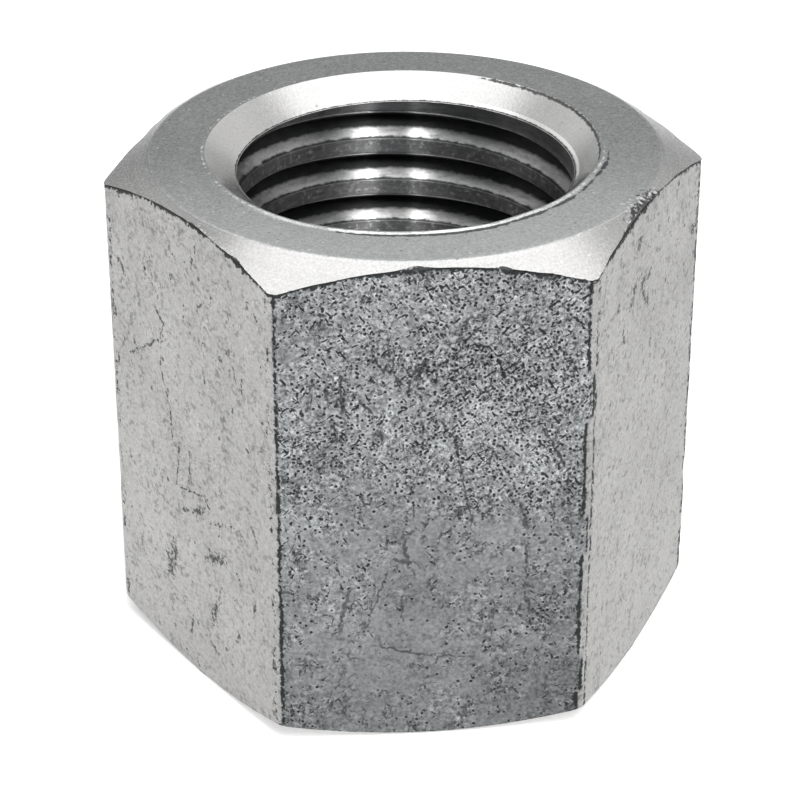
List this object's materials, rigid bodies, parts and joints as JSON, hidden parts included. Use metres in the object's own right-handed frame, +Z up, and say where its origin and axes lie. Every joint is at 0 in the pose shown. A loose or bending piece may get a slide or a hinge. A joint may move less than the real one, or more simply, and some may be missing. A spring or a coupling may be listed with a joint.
{
  "type": "union nut",
  "caption": "Tall hexagonal union nut with chamfered ends and a countersunk right-hand thread right through, for joining threaded rods end to end.",
  "frame": {"origin": "centre of the base, on the axis of the thread", "axes": "+Z up along the axis of the thread, from the base to the top face; two of the wrench flats face -Y and +Y"},
  "size_m": [0.0252, 0.022, 0.022],
  "materials": {
    "zinc_plated_steel": "dull zinc plating with fine dark pits on the wrench flats and bright turned chamfers"
  },
  "bodies": {
    "root": {"nut_body": "zinc_plated_steel"}
  },
  "joints": []
}
